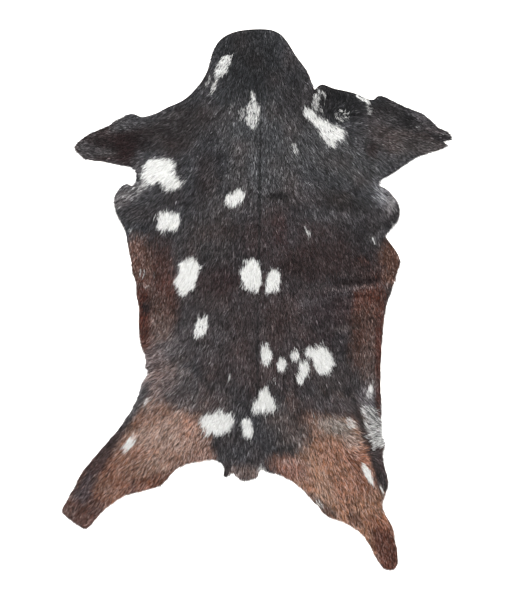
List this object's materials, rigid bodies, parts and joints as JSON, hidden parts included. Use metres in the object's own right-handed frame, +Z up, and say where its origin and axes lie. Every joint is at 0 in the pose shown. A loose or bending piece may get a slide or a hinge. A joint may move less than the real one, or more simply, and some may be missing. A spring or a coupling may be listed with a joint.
{
  "type": "goatskin rug",
  "caption": "Whole tanned goatskin with its hair on, laid out flat as a rug, with its legs spread.",
  "frame": {"origin": "on the floor, under the middle of the hide's box", "axes": "+Y along the back towards the neck, +X towards the right foreleg as seen from above, +Z up from the floor, out of the hair side"},
  "size_m": [0.78, 1.0814, 0.0209],
  "materials": {
    "hide": "hair-on goatskin, charcoal hair with white spots over suede"
  },
  "bodies": {
    "root": {"goatskin": "hide"}
  },
  "joints": []
}
